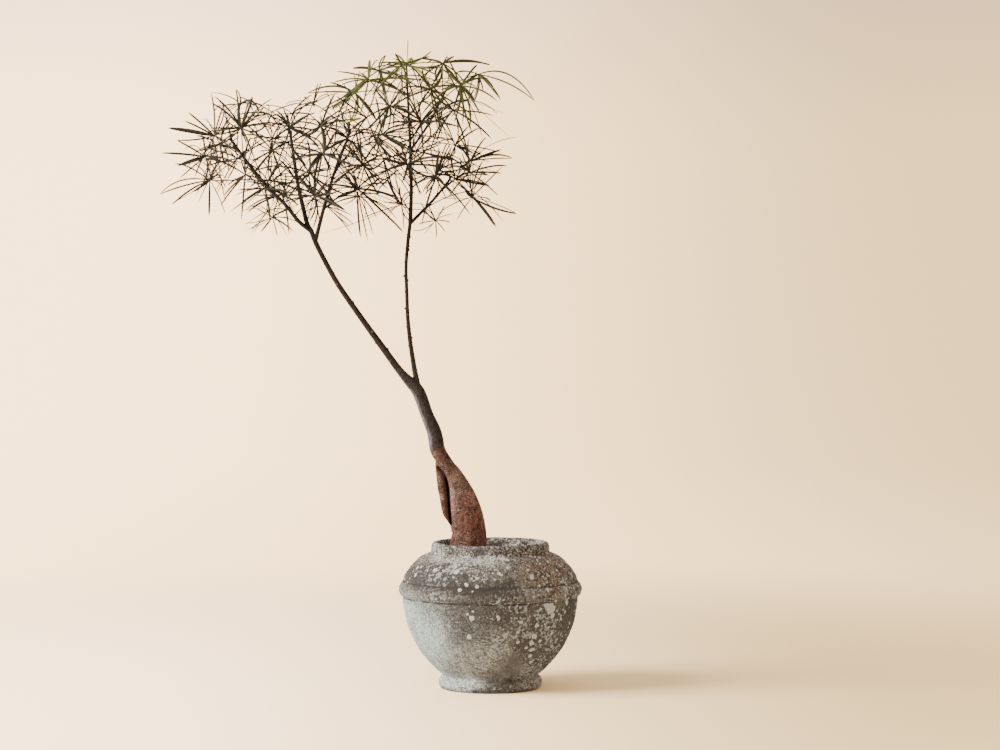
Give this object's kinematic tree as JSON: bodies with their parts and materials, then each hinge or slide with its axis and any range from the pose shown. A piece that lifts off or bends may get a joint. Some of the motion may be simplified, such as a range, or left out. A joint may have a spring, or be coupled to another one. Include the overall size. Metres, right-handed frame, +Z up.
{
  "type": "potted brachychiton",
  "caption": "Leaning caudex plant with a forked bare trunk and starry narrow leaflets, standing in soil in a round, weathered stone pot.",
  "frame": {"origin": "centre of the pot's flat base, on the surface it stands on", "axes": "+Z up, +Y away from the side it is looked at from, +X to the right; the plant leans towards -X"},
  "size_m": [0.6914, 0.3615, 1.0499],
  "materials": {
    "pot_stone": "rough weathered stone with lichen",
    "soil": "matt, crumbly",
    "bark": "matt bark, red brown below and grey brown above",
    "foliage": "satin leaf, very dark brown green",
    "foliage_green": "satin leaf, dark olive green"
  },
  "bodies": {
    "root": {"pot": "pot_stone", "soil": "soil", "trunk": "bark", "stem_far_left": "foliage", "stem_middle": "foliage", "stem_inner": "foliage", "stem_crown": "foliage_green", "stem_upper_right": "foliage_green", "stem_lower_right": "foliage"}
  },
  "joints": []
}
